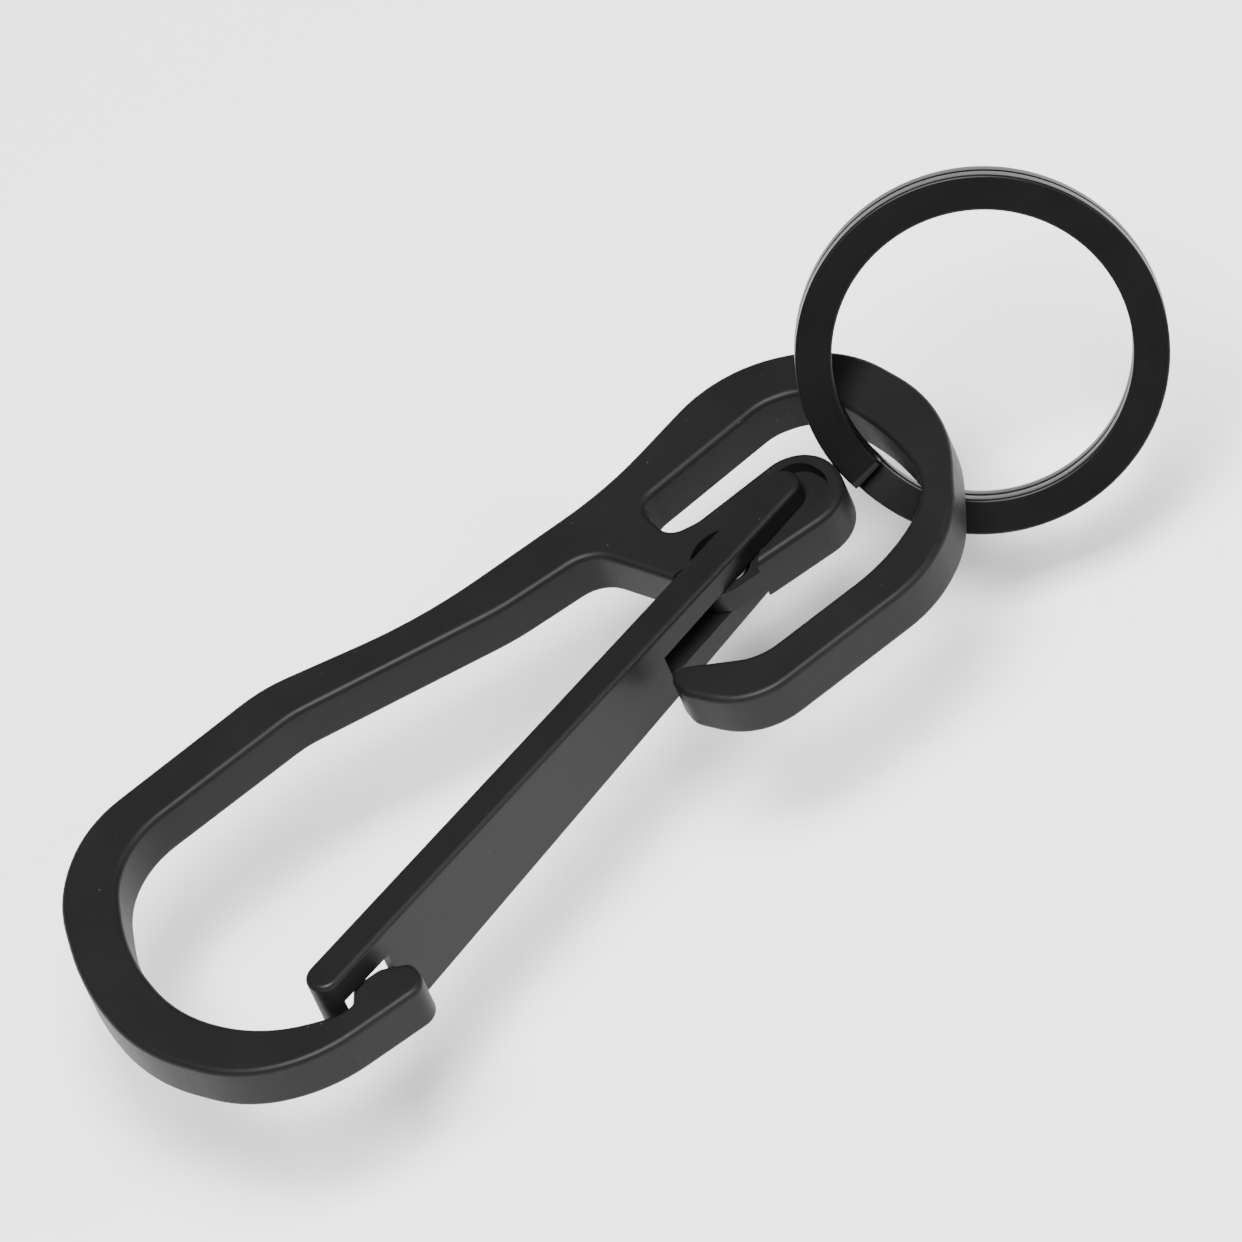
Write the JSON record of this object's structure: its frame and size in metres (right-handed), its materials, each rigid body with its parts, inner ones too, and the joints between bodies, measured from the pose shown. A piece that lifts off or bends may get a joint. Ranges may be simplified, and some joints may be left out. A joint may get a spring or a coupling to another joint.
{
  "type": "carabiner keyring",
  "caption": "Flat-plate carabiner key holder with an open hook, a small key loop, a sprung straight gate lever that closes both, and a flat split ring on the loop.",
  "frame": {"origin": "middle of the hook's round bowl, in the plate's mid-plane", "axes": "+X along the spine from the hook to the key loop, +Y across the plate from the gate to the spine, +Z out of the plate's upper face"},
  "size_m": [0.0965, 0.0333, 0.0252],
  "materials": {
    "coated_body": "satin black powder coat over die-cast zinc",
    "coated_gate": "satin black powder coat over die-cast zinc",
    "spring_steel": "blackened drawn spring wire",
    "coated_ring": "smooth semi-gloss black oxide on flat spring steel wire"
  },
  "bodies": {
    "plate": {"body_frame": "coated_body"},
    "gate": {"gate_lever": "coated_gate", "pivot_pin": "coated_gate", "gate_spring": "spring_steel"},
    "ring": {"split_key_ring": "coated_ring"}
  },
  "joints": [
    {"name": "gate_pivot", "type": "hinge", "parent": "plate", "child": "gate", "pos_m": [0.0443, 0.00435, 0], "axis": [0, 0, -1], "range_deg": [0, 13], "stiffness_Nm_per_rad": 0.124, "springref_deg": -21.77},
    {"name": "ring_swing", "type": "hinge", "parent": "plate", "child": "ring", "pos_m": [0.0617, 0.002, 0], "axis": [0.4226, 0.9063, 0], "range_deg": [-20, 60]}
  ]
}
